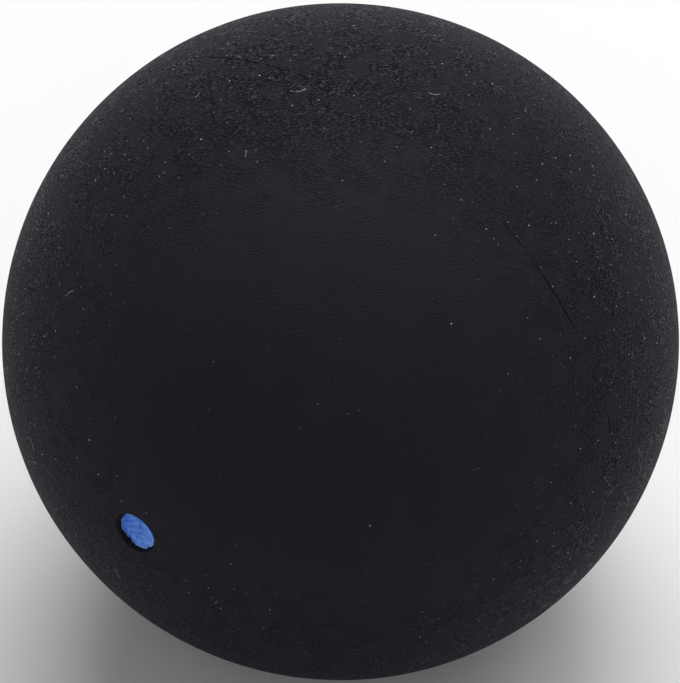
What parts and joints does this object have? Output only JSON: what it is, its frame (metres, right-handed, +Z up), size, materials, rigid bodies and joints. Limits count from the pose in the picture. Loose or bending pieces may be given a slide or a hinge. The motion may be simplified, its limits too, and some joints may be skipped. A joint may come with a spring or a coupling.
{
  "type": "squash ball",
  "caption": "Hollow black rubber squash ball of two moulded half-shells cemented at a buffed seam, with a small blue paint dot in a round dimple.",
  "frame": {"origin": "centre of the ball", "axes": "+Z up, the seam in the XZ plane, the turning axis of every piece along Y, and the dot facing -Y"},
  "size_m": [0.04, 0.0399, 0.04],
  "materials": {
    "shell_rubber": "moulded black rubber, buffed matt all over, with fine grinding marks",
    "seam_cement": "cured black rubber cement, matt",
    "dot_paint": "flexible blue paint, dabbed on, satin"
  },
  "bodies": {
    "root": {"front_half_shell": "shell_rubber", "rear_half_shell": "shell_rubber", "seam_cement": "seam_cement", "colour_dot": "dot_paint"}
  },
  "joints": []
}
